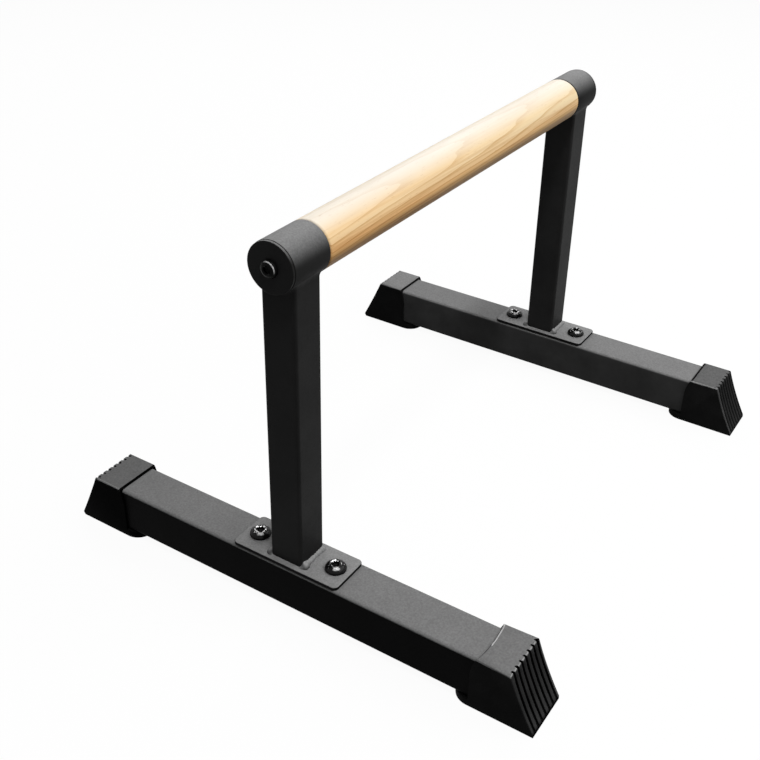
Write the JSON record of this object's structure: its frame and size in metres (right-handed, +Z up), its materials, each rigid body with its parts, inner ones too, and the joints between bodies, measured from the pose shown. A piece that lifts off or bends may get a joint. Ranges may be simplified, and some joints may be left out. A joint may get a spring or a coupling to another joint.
{
  "type": "parallette bar",
  "caption": "Low floor bar for hand balancing: a round beech grip between black steel posts on base beams, with ribbed rubber boots on the beam ends",
  "frame": {"origin": "on the floor under the middle of the object", "axes": "+X along the grip bar, +Y along the base beams, +Z up"},
  "size_m": [0.5098, 0.4504, 0.331],
  "materials": {
    "powder_coat": "satin black powder coat with a fine grain",
    "beech": "sanded beech with a thin clear oil",
    "boot_rubber": "matte moulded rubber",
    "bolt_black": "blackened steel, semi gloss"
  },
  "bodies": {
    "root": {"grip_bar": "beech", "left_base_beam": "powder_coat", "left_base_plate": "powder_coat", "left_upright": "powder_coat", "left_foot_weld": "powder_coat", "left_sleeve": "powder_coat", "left_end_disc": "powder_coat", "left_end_bolt": "bolt_black", "left_front_plate_bolt": "bolt_black", "left_front_boot": "boot_rubber", "left_rear_plate_bolt": "bolt_black", "left_rear_boot": "boot_rubber", "right_base_beam": "powder_coat", "right_base_plate": "powder_coat", "right_upright": "powder_coat", "right_foot_weld": "powder_coat", "right_sleeve": "powder_coat", "right_end_disc": "powder_coat", "right_end_bolt": "bolt_black", "right_front_plate_bolt": "bolt_black", "right_front_boot": "boot_rubber", "right_rear_plate_bolt": "bolt_black", "right_rear_boot": "boot_rubber"}
  },
  "joints": []
}
